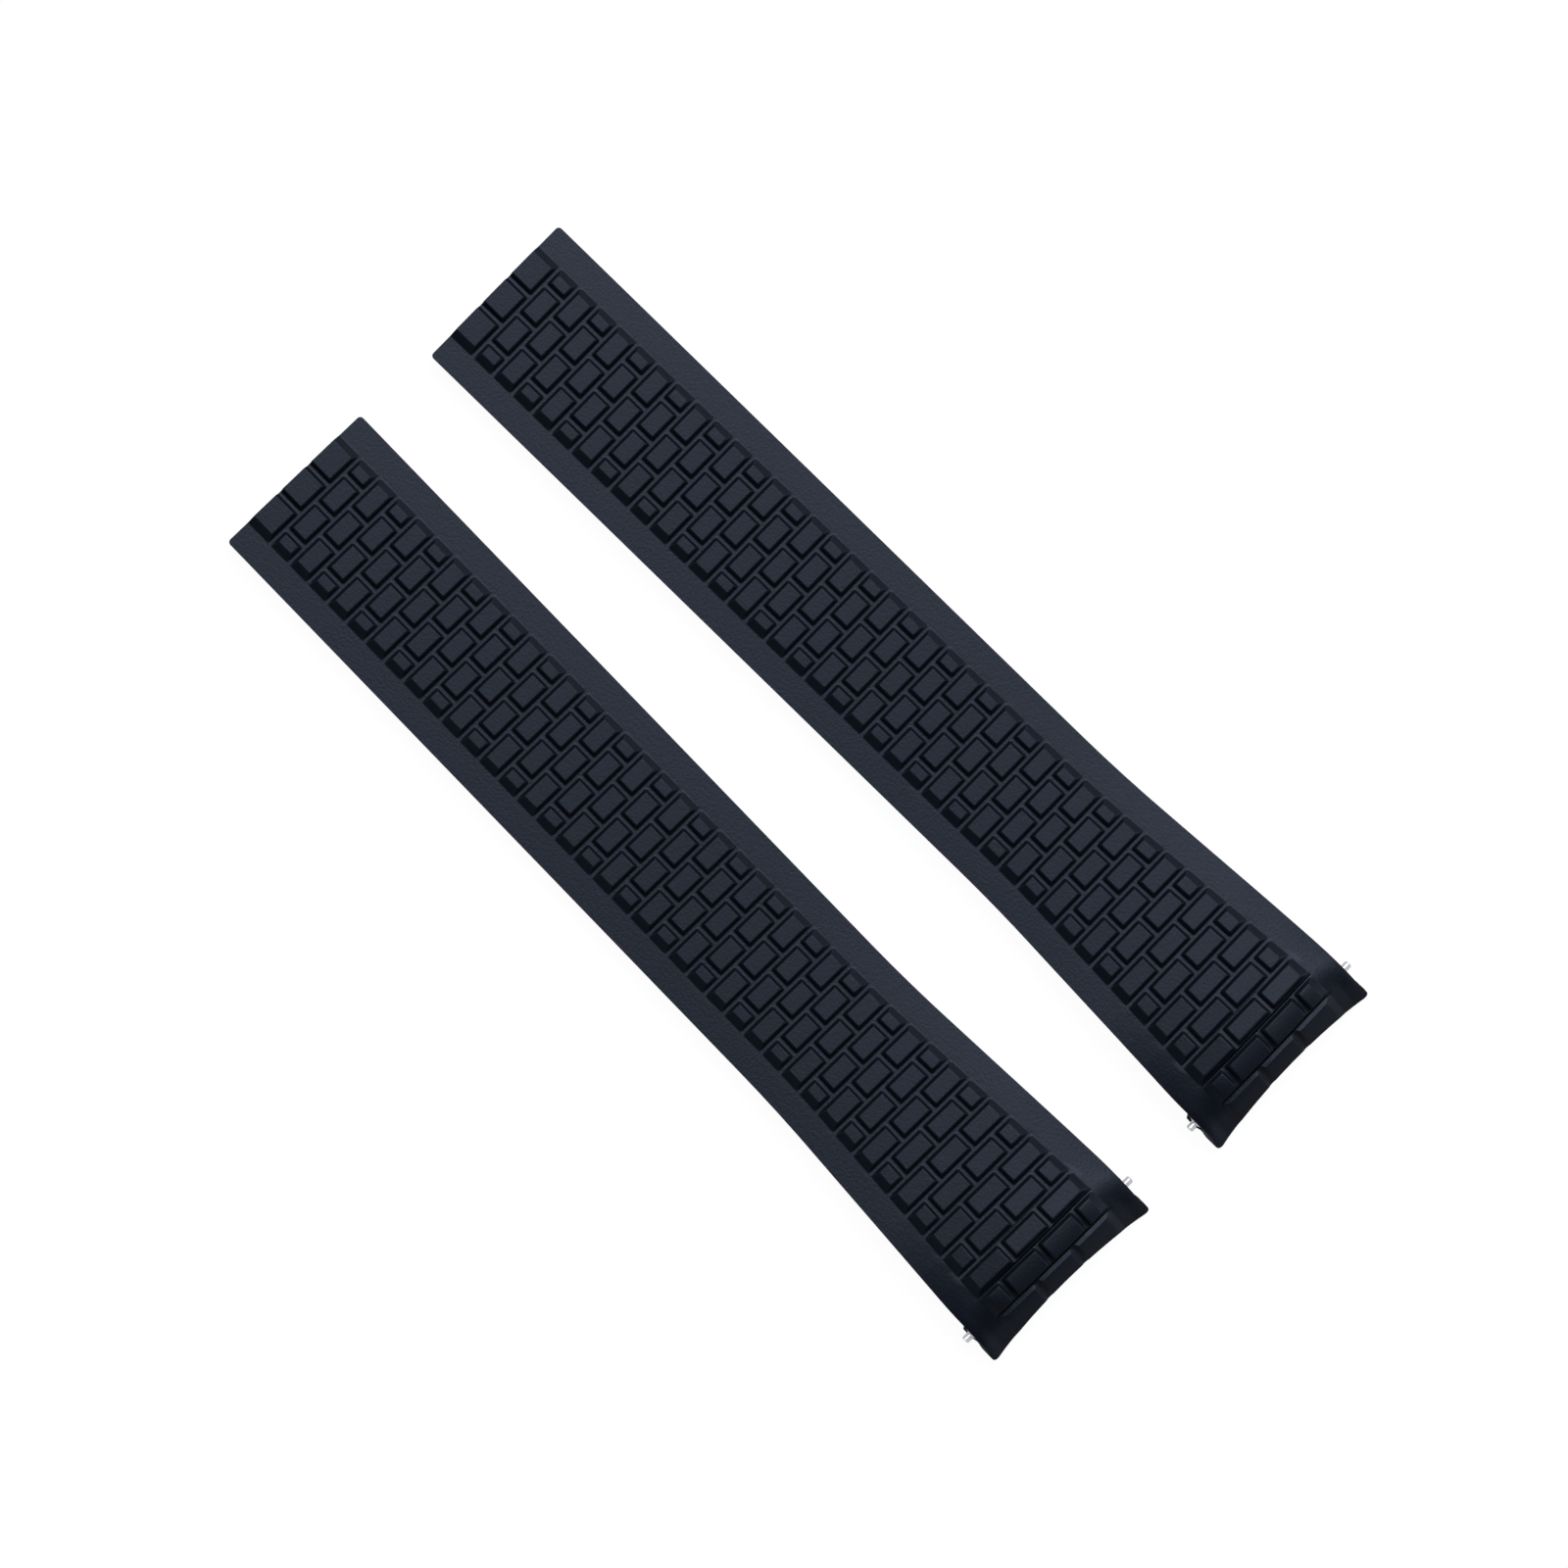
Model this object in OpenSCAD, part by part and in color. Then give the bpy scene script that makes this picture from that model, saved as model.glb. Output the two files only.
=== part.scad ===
// Two-piece silicone watch strap with curved case ends, cut to length at the clasp end.
// Each half is modelled along +X from its clasp end, top side up, and the two lie side by side.

/* [Strap moulding] */
// Length of one half, from the clasp end to the corner tips at the case
strap_length = 110; // [95:1:130]
// Width at the clasp end
clasp_w = 18; // [16:0.5:20]
// Width between the lugs of the watch
lug_w = 21; // [19:0.5:23]
// Thickness of the body at the clasp end, without the relief
body_t = 2.7; // [2.4:0.1:3.4]
// Height of the top skin above the table at the crest, without the relief
crest_h = 4.75; // [4.6:0.05:5.2]
// Height of the underside above the table, just behind the spring bar's barrel
arch_h = 1.6; // [1.2:0.1:2]
// Length of the stretch that arches up to the crest
arch_length = 42; // [30:1:55]
// Length over which the sides flare out to the lug width
flare_length = 33; // [24:1:45]
// Rounding of the clasp end's corners in plan
clasp_corner_r = 0.4; // [0.2:0.1:0.8]

/* [Case end] */
// Radius of the roll where the top skin turns down to the case
crest_r = 4; // [3.4:0.1:5]
// Slope of the turned-down skin in degrees
end_slope = 45; // [38:1:48]
// Length of the straight turned-down skin, seen from above
end_run = 2.5; // [2:0.1:3]
// Depth of the hollow in the end, which fits round the case
end_hollow = 0.9; // [0.5:0.1:1.5]
// Rounding of the corner tips in plan
tip_r = 0.5; // [0.3:0.1:0.8]
// Thickness of the lip below the skin at the corner tips
lip_t = 0.6; // [0.4:0.05:0.8]
// How far the barrel and lip stand out at each side, so that they press on the lugs
side_bulge = 0.1; // [0.05:0.01:0.11]
// Height above the table up to which they stand out
bulge_h = 2.2; // [1.8:0.1:2.6]
// Distance from the bar's axis at which they begin to stand out
bulge_run = 0.8; // [0.4:0.1:1.2]

/* [Relief] */
// Height of the bricks above the skin
relief_h = 0.55; // [0.4:0.05:0.8]
// Flat border along each side
border_w = 2.85; // [2.2:0.05:3.4]
// Sloping outer side of the bricks, seen from above
shoulder_w = 0.75; // [0.4:0.05:1]
// Distance from one cross groove to the next
row_pitch = 2.66; // [2.3:0.02:3.2]
// Distance of the first cross groove from the clasp end
first_groove = 3; // [2.4:0.1:3.6]
// Width of a groove at its floor
groove_floor = 0.38; // [0.3:0.02:0.6]
// Width of a groove between the tops of the bricks
groove_open = 1; // [0.8:0.05:1.2]

/* [Clasp tunnels] */
// Number of tunnels for the clasp's spring bar
tunnel_count = 4; // [2:1:6]
// Diameter of a tunnel
tunnel_d = 1.6; // [1.4:0.05:1.7]
// Distance of a tunnel from the end or from its cutting guide
tunnel_setback = 2.2; // [1.8:0.1:2.6]
// Depth of the cutting guides in the underside
guide_depth = 0.35; // [0.2:0.05:0.5]
// Width of the cutting guides
guide_w = 0.6; // [0.4:0.05:1]

/* [Spring bar] */
// Diameter of the spring bar's tube
bar_d = 1.5; // [1.3:0.05:1.6]
// Wall of the tube
bar_wall = 0.15; // [0.12:0.01:0.18]
// Distance of the bar's axis from the corner tips
bar_setback = 3.7; // [3.4:0.1:4.2]
// Silicone below the sleeve
barrel_wall = 0.85; // [0.7:0.05:1]
// Wall of the sleeve that is moulded into the strap
sleeve_wall = 0.22; // [0.15:0.01:0.3]
// How far each end of the sleeve lies inside the strap's side
sleeve_inset = 0.1; // [0.05:0.05:0.3]
// Diameter of the pivots that enter the lugs
pivot_d = 0.8; // [0.7:0.05:0.9]
// Length of a pivot
pivot_length = 0.85; // [0.8:0.05:1]
// Diameter of the flange that a tool draws the tip in by
flange_d = 1.3; // [1.15:0.05:1.35]
// Thickness of the flange
flange_t = 0.5; // [0.4:0.05:0.6]
// How far a tip can be pushed in
tip_travel = 0.8; // [0.6:0.05:1]
// Length of a tip's head inside the tube
head_length = 2.4; // [1.5:0.1:3.5]
// Thickness of the tube's rolled-in ends
crimp_t = 0.3; // [0.2:0.05:0.4]
// Wire of the coil spring
wire_d = 0.2; // [0.15:0.01:0.22]
// Turns of the coil spring
coil_turns = 18; // [12:1:20]

/* [Fits] */
// Radial gap in which the bar turns inside its sleeve
turn_gap = 0.03; // [0.02:0.01:0.05]
// Radial gap round a tip's head and neck
slide_gap = 0.05; // [0.03:0.01:0.07]
// Gap between pieces that rest on each other's faces
rest_gap = 0.02; // [0.01:0.01:0.04]

/* [Layout] */
// Distance between the middles of the two halves
pair_spacing = 28.7; // [26:0.1:40]
// How much farther half b lies towards its case end
pair_shift = 0.67; // [0:0.01:2]
// Angle at which the two halves open towards the case ends, in degrees
pair_angle = 1.745; // [0:0.1:3]
// Share of a half's length, from its clasp end, at which its middle lies
middle_share = 0.5125; // [0.5:0.0025:0.53]

/* [Hidden] */
$fn = 48;

silicone = "#2c313c";
steel = "#b9bcc0";

// Shares of the flare that ease in and out of its straight middle
flare_in = 0.3;
flare_out = 0.1;
flare_slope = 1 / (1 - (flare_in + flare_out) / 2);
// The full width is reached a little after the roll begins
flare_end = strap_length - end_run - 2.5;

// The top skin seen from the side: level, arch, roll and straight slope
crest_tilt = atan(2 * (crest_h - body_t) / arch_length);
roll_run = crest_r * (sin(end_slope) + sin(crest_tilt));
roll_start = strap_length - end_run - roll_run;
arch_start = roll_start - arch_length;
roll_x = roll_start + crest_r * sin(crest_tilt);
roll_z = crest_h - crest_r * cos(crest_tilt);
slope_start = strap_length - end_run;

// The bar's barrel hangs below the skin and stands on the table
sleeve_r = bar_d / 2 + turn_gap + sleeve_wall;
barrel_r = sleeve_r + barrel_wall;
bar_x = strap_length - bar_setback;
bar_z = barrel_r;

// Length of the cut that runs past a face
over = 1;
// How deep the relief is rooted in the body, so that the two are one moulding
root = 0.2;
// Cross grooves, the last one at least half a row before the hollow end
groove_count = floor((strap_length - end_hollow - first_groove - row_pitch / 2) / row_pitch) + 1;
function groove_x(i) = first_groove + i * row_pitch;
tunnel_z = body_t / 2;

function flare_share(t) =
    t <= 0 ? 0 :
    t >= 1 ? 1 :
    t < flare_in ? flare_slope * t * t / (2 * flare_in) :
    t > 1 - flare_out ? 1 - flare_slope * (1 - t) * (1 - t) / (2 * flare_out) :
    flare_slope * (t - flare_in / 2);

// Half the strap's width at x
function half_w(x) =
    clasp_w / 2 + (lug_w - clasp_w) / 2 * flare_share(1 - (flare_end - x) / flare_length);

// Half the width over the bricks' tops at x, and the distance from one long groove to the next
function top_half_w(x) = half_w(x) - border_w - shoulder_w;
function brick_pitch(x) = (2 * top_half_w(x) + groove_open) / 3;

// Slope of the top skin at x in degrees, positive where it falls towards the case
function skin_slope(x) =
    x <= arch_start ? 0 :
    x < roll_start ? -atan(2 * (crest_h - body_t) * (x - arch_start) / pow(arch_length, 2)) :
    x < slope_start ? asin((x - roll_x) / crest_r) :
    end_slope;

// Height of the top skin at x
function skin_z(x) =
    x <= arch_start ? body_t :
    x < roll_start ? body_t + (crest_h - body_t) * pow((x - arch_start) / arch_length, 2) :
    x < slope_start ? roll_z + sqrt(pow(crest_r, 2) - pow(x - roll_x, 2)) :
    roll_z + crest_r * cos(end_slope) - (x - slope_start) * tan(end_slope);

// A point at a height over the skin, square to it
function over_skin(x, h) = [x + h * sin(skin_slope(x)), skin_z(x) + h * cos(skin_slope(x))];

// Stations along the skin, closer together where it turns down
function skin_stations(start) = concat(
    [start, arch_start],
    [for (i = [1:8]) arch_start + arch_length * i / 8],
    [for (i = [1:7]) roll_x + crest_r * sin(-crest_tilt + (end_slope + crest_tilt) * i / 8)],
    [slope_start, strap_length + over]
);

// The underside, from the case end back to the clasp end
barrel_start = bar_x - barrel_r;
arch_under = arch_h / pow(barrel_start - arch_start, 2);
lip_z = skin_z(strap_length) - lip_t;
// The lip's underside slopes down to a narrow foot just above the table
lip_run = 0.7;
foot_run = 0.7;
foot_z = 0.1;
underside = concat(
    [
        [strap_length + over, lip_z - over * tan(end_slope)],
        [strap_length, lip_z],
        [strap_length - lip_run, foot_z],
        [strap_length - lip_run - foot_run, foot_z]
    ],
    [for (a = [40:-20:-60]) [bar_x + barrel_r * sin(a), bar_z - barrel_r * cos(a)]],
    [for (i = [8:-1:0]) let (x = arch_start + (barrel_start - arch_start) * i / 8)
        [x, arch_under * pow(x - arch_start, 2)]],
    [[-over, 0]]
);

// Extrudes an outline in X and Z across the strap
module across(w) {
    rotate([90, 0, 0]) linear_extrude(height = w, center = true) children();
}

// The strap's outline from above, with a number of facets in the end's hollow
module plan(grow = 0, end_cut = 0) {
    tip = strap_length - end_cut;
    w = lug_w / 2 + grow;
    end_r = (pow(lug_w / 2, 2) + pow(end_hollow, 2)) / (2 * end_hollow);
    end_x = tip - end_hollow + end_r;
    lean = asin((w - tip_r) / (end_r + tip_r));
    tip_x = end_x - (end_r + tip_r) * cos(lean);
    side = [for (a = [90:22.5:180])
        [clasp_corner_r * (1 + cos(a)), clasp_w / 2 + grow - clasp_corner_r * (1 - sin(a))]];
    flare = [for (i = [0:12]) let (x = flare_end - flare_length * i / 12) [x, half_w(x) + grow]];
    corner = [for (i = [1:5]) let (a = -lean + (90 + lean) * i / 5)
        [tip_x + tip_r * cos(a), w - tip_r + tip_r * sin(a)]];
    hollow = [for (i = [0:8]) let (a = lean * i / 8) [end_x - end_r * cos(a), end_r * sin(a)]];
    upper = concat(hollow, corner, flare, side);
    lower = [for (i = [len(upper) - 1:-1:1]) [upper[i].x, -upper[i].y]];
    polygon(concat(upper, lower));
}

// The relief's outline from above, at the middle of its sloping sides
module field() {
    stations = concat([-over], [for (i = [12:-1:0]) flare_end - flare_length * i / 12], [strap_length + over]);
    upper = [for (x = stations) [x, top_half_w(x) + shoulder_w / 2]];
    lower = [for (i = [len(upper) - 1:-1:0]) [upper[i].x, -upper[i].y]];
    polygon(concat(upper, lower));
}

// A groove's section: upright in the root, then opening to the bricks' tops
module groove_section() {
    slant = (groove_open - groove_floor) / 2 / relief_h;
    low = groove_floor / 2 - slant * root / 2;
    high = groove_floor / 2 + slant * (relief_h + over);
    polygon([
        [-low, -root - over / 2], [low, -root - over / 2], [low, -root / 2],
        [high, relief_h + over], [-high, relief_h + over], [-low, -root / 2]
    ]);
}

// Groove across the strap at x
module cross_groove(x) {
    translate([x, 0, skin_z(x)]) rotate([0, skin_slope(x), 0])
        across(lug_w + 2 * over) groove_section();
}

// Groove along one row, between two cross grooves
module long_groove(x0, x1, share) {
    mid = (x0 + x1) / 2;
    yaw = atan(share * (brick_pitch(x1) - brick_pitch(x0)) / (x1 - x0));
    length = (x1 - x0) / cos(skin_slope(mid));
    translate([mid, share * brick_pitch(mid), skin_z(mid)]) rotate([0, skin_slope(mid), yaw])
        rotate([90, 0, 90]) linear_extrude(height = length, center = true) groove_section();
}

// Bricks in running bond: rows of three, and between them rows of two with a half brick at each side
module relief() {
    stations = skin_stations(-over / 2);
    difference() {
        intersection() {
            across(lug_w) polygon(concat(
                [for (x = stations) over_skin(x, relief_h)],
                [for (i = [len(stations) - 1:-1:0]) over_skin(stations[i], -root)]
            ));
            translate([0, 0, -over]) linear_extrude(height = crest_h + 3 * over) field();
        }
        for (i = [0:groove_count - 1]) cross_groove(groove_x(i));
        // The first and last rows run through the ends
        for (row = [0:groove_count]) {
            x0 = row == 0 ? -over : groove_x(row - 1);
            x1 = row == groove_count ? strap_length + over : groove_x(row);
            for (share = row % 2 == 0 ? [-0.5, 0.5] : [-1, 0, 1]) long_groove(x0, x1, share);
        }
    }
}

// A hole across the strap
module cross_hole(x, z, d) {
    translate([x, 0, z]) rotate([90, 0, 0]) cylinder(h = lug_w + 2 * over, d = d, center = true);
}

// Shallow V in the underside, where the strap is cut to length
module cutting_guide(x) {
    across(lug_w + 2 * over) polygon([
        [x - guide_w / 2 - guide_w * over / guide_depth / 2, -over],
        [x, guide_depth],
        [x + guide_w / 2 + guide_w * over / guide_depth / 2, -over]
    ]);
}

// The guides lie under every other cross groove
function guide_x(i) = groove_x(2 * i - 1);
function tunnel_x(i) = i == 0 ? tunnel_setback : guide_x(i) + tunnel_setback;

// One half's silicone, with its relief, tunnels and the hole for the sleeve
module strap_moulding() {
    color(silicone) difference() {
        intersection() {
            union() {
                across(lug_w + 2 * over) polygon(concat(
                    [for (x = skin_stations(-over)) [x, skin_z(x)]],
                    underside
                ));
                relief();
            }
            union() {
                translate([0, 0, -over]) linear_extrude(height = crest_h + 3 * over) plan();
                // The barrel and lip are a little wider than the skin over them
                intersection() {
                    translate([0, 0, -over]) linear_extrude(height = bulge_h + over)
                        plan(side_bulge, side_bulge);
                    translate([bar_x - bulge_run, -lug_w, -2 * over])
                        cube([bar_setback + bulge_run + over, 2 * lug_w, bulge_h + 4 * over]);
                }
            }
        }
        cross_hole(bar_x, bar_z, 2 * sleeve_r);
        for (i = [0:tunnel_count - 1]) cross_hole(tunnel_x(i), tunnel_z, tunnel_d);
        for (i = [1:tunnel_count - 1]) cutting_guide(guide_x(i));
    }
}

// Puts a piece that is made along Z on the spring bar's axis, with +Z towards +Y
module on_bar() {
    translate([bar_x, 0, bar_z]) rotate([-90, 0, 0]) children();
}

// Steel sleeve that keeps the bar from tearing the silicone
module lug_sleeve() {
    color(steel) on_bar() difference() {
        cylinder(h = lug_w - 2 * sleeve_inset, r = sleeve_r, center = true);
        cylinder(h = lug_w + over, r = bar_d / 2 + turn_gap, center = true);
    }
}

// Along the bar, from its middle: flange, tube end and head, worked inwards from the lug
flange_out = lug_w / 2;
flange_in = flange_out - flange_t;
tube_end = flange_in - tip_travel - 2 * slide_gap;
head_out = tube_end - crimp_t - rest_gap;
head_in = head_out - head_length;
tube_bore_r = bar_d / 2 - bar_wall;
neck_r = pivot_d / 2;
head_r = tube_bore_r - slide_gap;
coil_r = head_r - wire_d / 2;
pilot_r = coil_r - wire_d / 2 - slide_gap;
pilot_length = 0.8;
pivot_chamfer = 0.08;
// A small cone at the pivot's root, which keeps the thin pivot from snapping at the flange
pivot_root = 0.08;

// Tube with its ends rolled in over the tips' heads
module spring_bar_tube() {
    color(steel) on_bar() difference() {
        cylinder(h = 2 * tube_end, r = bar_d / 2, center = true);
        cylinder(h = 2 * (tube_end - crimp_t), r = tube_bore_r, center = true);
        cylinder(h = 2 * tube_end + over, r = neck_r + slide_gap, center = true);
    }
}

// One turned tip: pilot, head, neck, flange and pivot
module spring_bar_tip(side) {
    color(steel) on_bar() rotate([side > 0 ? 0 : 180, 0, 0]) rotate_extrude() polygon([
        [0, head_in - pilot_length], [pilot_r, head_in - pilot_length], [pilot_r, head_in],
        [head_r, head_in], [head_r, head_out],
        [neck_r, head_out], [neck_r, flange_in],
        [flange_d / 2, flange_in], [flange_d / 2, flange_out],
        [neck_r + pivot_root, flange_out], [neck_r, flange_out + pivot_root],
        [neck_r, flange_out + pivot_length - pivot_chamfer],
        [neck_r - pivot_chamfer, flange_out + pivot_length], [0, flange_out + pivot_length]
    ]);
}

// Round wire wound between the two heads
module spring_bar_coil() {
    sides = 6;
    steps = 8;
    half_length = head_in - wire_d / 2 - rest_gap;
    rings = coil_turns * steps;
    points = [for (k = [0:rings], j = [0:sides - 1]) let (
            turn = 360 * k / steps,
            at = 360 * j / sides,
            r = coil_r + wire_d / 2 * cos(at)
        ) [r * cos(turn), r * sin(turn), -half_length + 2 * half_length * k / rings + wire_d / 2 * sin(at)]];
    walls = [for (k = [0:rings - 1], j = [0:sides - 1], half = [0, 1]) let (
            a = k * sides + j,
            b = k * sides + (j + 1) % sides
        ) half == 0 ? [a, b, b + sides] : [a, b + sides, a + sides]];
    caps = [for (j = [1:sides - 2], end = [0, 1]) let (c = end * rings * sides)
        end == 0 ? [c, c + j + 1, c + j] : [c, c + j, c + j + 1]];
    color(steel) on_bar() polyhedron(points, concat(walls, caps));
}

// Places a half: side -1 is half a, side 1 is half b, which open towards the case ends
module in_pair(side) {
    // Each half turns about its middle, and the pair's box is centred on the origin
    middle = strap_length * middle_share;
    turn = pair_angle / 2;
    clasp_reach = middle * cos(turn) + clasp_w / 2 * sin(turn);
    case_reach = (strap_length - middle) * cos(turn) + (lug_w / 2) * sin(turn);
    translate([(clasp_reach - case_reach + side * pair_shift) / 2, side * pair_spacing / 2, 0])
        rotate([0, 0, side * turn]) translate([-middle, 0, 0]) children();
}

in_pair(-1) strap_moulding();  // strap_half_a
in_pair(-1) lug_sleeve();  // lug_sleeve_a
in_pair(-1) spring_bar_tube();  // spring_bar_tube_a
in_pair(-1) spring_bar_coil();  // spring_bar_coil_a
in_pair(-1) spring_bar_tip(-1);  // spring_bar_outer_tip_a
in_pair(-1) spring_bar_tip(1);  // spring_bar_inner_tip_a
in_pair(1) strap_moulding();  // strap_half_b
in_pair(1) lug_sleeve();  // lug_sleeve_b
in_pair(1) spring_bar_tube();  // spring_bar_tube_b
in_pair(1) spring_bar_coil();  // spring_bar_coil_b
in_pair(1) spring_bar_tip(1);  // spring_bar_outer_tip_b
in_pair(1) spring_bar_tip(-1);  // spring_bar_inner_tip_b
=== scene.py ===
import math

import bmesh
import bpy
import numpy as np
from mathutils import Matrix, Vector


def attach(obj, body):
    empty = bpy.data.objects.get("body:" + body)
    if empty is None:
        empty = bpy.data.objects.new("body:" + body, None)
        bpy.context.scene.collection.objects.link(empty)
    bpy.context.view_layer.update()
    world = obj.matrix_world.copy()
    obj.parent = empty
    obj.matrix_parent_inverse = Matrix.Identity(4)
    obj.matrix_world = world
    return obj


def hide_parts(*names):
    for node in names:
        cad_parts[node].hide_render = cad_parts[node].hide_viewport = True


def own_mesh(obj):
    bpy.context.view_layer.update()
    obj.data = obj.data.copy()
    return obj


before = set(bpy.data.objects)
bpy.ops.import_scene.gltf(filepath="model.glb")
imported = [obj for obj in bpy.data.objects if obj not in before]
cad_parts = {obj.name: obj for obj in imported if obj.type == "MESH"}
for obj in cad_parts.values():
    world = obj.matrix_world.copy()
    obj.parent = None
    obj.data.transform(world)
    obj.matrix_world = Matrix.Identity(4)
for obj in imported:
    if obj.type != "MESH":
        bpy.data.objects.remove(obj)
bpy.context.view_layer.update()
print("frame loaded:", len(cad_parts), "nodes")


# Small helpers

perMetre = 1000  # mm in a metre
near = 1e-4      # mm, within which two places count as the same
slack = 0.01     # mm, by which a face's middle may lie past a line
upward = 0.9     # a face whose normal rises more than this faces up
sideways = 0.2   # a face whose normal rises less than this stands upright


def toLinear(hexColour):
    # sRGB hex to the linear colour that the shaders take
    parts = [int(hexColour[i:i + 2], 16) / 255 for i in (1, 3, 5)]
    linear = [c / 12.92 if c <= 0.04045 else ((c + 0.055) / 1.055) ** 2.4 for c in parts]
    return (*linear, 1.0)


def newNode(tree, kind, links=None, **settings):
    # Adds a node; settings are its properties or its inputs by name, links are sockets to join
    node = tree.nodes.new(kind)
    for name, value in settings.items():
        if hasattr(node, name):
            setattr(node, name, value)
        else:
            node.inputs[name.replace("_", " ")].default_value = value
    for name, socket in (links or {}).items():
        tree.links.new(socket, node.inputs[name])
    return node


def newMaterial(name):
    material = bpy.data.materials.new(name)
    material.use_nodes = True
    return material, material.node_tree


def linked(name, data):
    # A new object in the scene, for a mesh, a lamp or the camera
    piece = bpy.data.objects.new(name, data)
    bpy.context.scene.collection.objects.link(piece)
    return piece


def objectFrom(name, bm):
    mesh = bpy.data.meshes.new(name)
    bm.to_mesh(mesh)
    bm.free()
    return linked(name, mesh)


def everything(bm):
    return bm.verts[:] + bm.edges[:] + bm.faces[:]


def around(faces):
    # The faces with their own edges and corners, as bisect_plane wants them
    edges = dict.fromkeys(e for f in faces for e in f.edges)
    verts = dict.fromkeys(v for f in faces for v in f.verts)
    return [*verts, *edges, *faces]


def middleOf(face):
    return face.calc_center_median()


def facingUp(bm):
    return [f for f in bm.faces if f.normal.z > upward]


def cut(bm, geom, point, normal, dist=1e-5, **settings):
    # Cuts geom with a plane and returns the edges of the cut
    found = bmesh.ops.bisect_plane(bm, geom=geom, dist=dist, plane_co=point, plane_no=normal,
                                   **settings)
    return [g for g in found["geom_cut"] if isinstance(g, bmesh.types.BMEdge)]


def roundEdges(bm, edges, radius, segments):
    bmesh.ops.bevel(bm, geom=list(edges), offset=radius, offset_type="OFFSET", affect="EDGES",
                    segments=segments, profile=0.5, material=-1, clamp_overlap=True)


# The strap's shape, in millimetres and degrees: the part's own sizes, and the crown, roll, lean and
# valley that its plainer solid leaves out. x runs from the clasp end to the case end.

strap = {
    "length": 110, "claspWidth": 18, "lugWidth": 21, "thickness": 2.7,
    "crestHeight": 4.75, "archHeight": 1.6, "archLength": 42,
    "flareLength": 33, "flareBack": 2.5,  # the flare ends this far before the slope of the end
    "easeIn": 0.3, "easeOut": 0.1,        # shares of the flare over which it begins and ends
    "claspCorner": 0.4, "tipCorner": 0.5, "longEdge": 0.3, "underEdge": 0.2,
    "crestRadius": 5, "endSlope": 45, "endRun": 2.5, "endHollow": 1.0,
    "endSpare": 0.02,                     # keeps the end inside the solid's
    "lip": 0.6, "lipClear": 0.1, "lipRun": (1.4, 0.7),  # it is level under here, before the end
    "barSetback": 3.7, "barrelRadius": 1.85, "barrelTurn": (-60, 40), "sleeveRadius": 1.0,
    # Fall of the skin at its sides
    "crownAt": (0, 62, 94, 99, 104, 107, 110), "crown": (0.05, 0.1, 0.25, 0.6, 1.2, 1.2, 0.85),
    # The roll bends with the hollow end, by this much at these places across
    "rollAcross": (0, 4, 7.6, 9, 10.3), "rollBend": (0.45, 0.45, 0.4, 0.45, 1.0),
    "bendStart": 98, "bendRun": 6,
    # The sides lean in towards the underside; the barrel and lip stand out, with a valley between
    "sideLean": 0.28, "sideBulge": 0.16, "sideStrip": 0.5,
    "bulgeHeight": 2.2, "bulgeFade": 0.5, "bulgeRun": 0.8, "bulgeEase": 0.3,
    "valleyBack": 2.6, "valleyRun": 0.45, "valleyShare": 0.8,
    "sharpAngle": 38,                     # edges that bend more than this stay sharp in the shading
    "pairSpacing": 28.7, "pairShift": 0.67, "pairAngle": 1.745, "middleShare": 0.5125,
}
relief = {
    "height": 0.55, "border": 2.85, "shoulder": 0.75, "pitch": 2.66, "firstGroove": 3,
    "floor": 0.41, "open": 0.94,  # a cross groove's width at its bottom and at its top
    "lastShare": 0.6,             # the last row stands less high
    "rim": 0.12,                  # flat strip kept round each brick's foot for its fillet
    "cornerRadius": 0.14,         # the bricks' corners, seen from above
    "topRadius": 0.1, "footRadius": 0.1,
}
# How finely the shapes are drawn
detail = {
    "step": 0.01, "past": 4,        # of the tables along the skin, and their reach past both ends
    "archPoints": 30, "barrelPoints": 26,
    "crownEase": 600,               # in steps
    "spare": 2.0,                   # flat moulding beyond both ends, until they are cut
    "borderLines": (6.5, 7.3, 8.1), "borderStart": 0.2,  # from the middle, and from the relief
    "endLines": (-8.4, 8.5, 0.7),   # first, limit and distance
    "archStart": 80,                # stations between the rows' lines begin here
    "rollStart": 103.4, "rollBack": 0.1, "rollStep": 0.3,
    "levels": (-0.6, -1.1, -1.5, -1.9, -2.3), "levelStart": 104.5,
}

length = strap["length"]
rise = strap["crestHeight"] - strap["thickness"]
crestTilt = math.atan(2 * rise / strap["archLength"])
endSlope = math.radians(strap["endSlope"])
slopeStart = length - strap["endRun"]
rollStart = slopeStart - strap["crestRadius"] * (math.sin(endSlope) + math.sin(crestTilt))
archStart = rollStart - strap["archLength"]
rollX = rollStart + strap["crestRadius"] * math.sin(crestTilt)
rollZ = strap["crestHeight"] - strap["crestRadius"] * math.cos(crestTilt)
barX = length - strap["barSetback"]
barZ = strap["barrelRadius"]
flareEnd = slopeStart - strap["flareBack"]


def bySection(x, flatPart, arch, roll, end):
    # The skin has a flat part, an arch, a roll and a sloping end
    curved = np.where(x < rollStart, arch, np.where(x < slopeStart, roll, end))
    return np.where(x <= archStart, flatPart, curved)


def skinSlope(x):
    # Slope of the top skin in radians, positive where it falls towards the case
    arch = -np.arctan(2 * rise * (x - archStart) / strap["archLength"] ** 2)
    roll = np.arcsin(np.clip((x - rollX) / strap["crestRadius"], -1, 1))
    return bySection(x, 0, arch, roll, endSlope)


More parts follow.
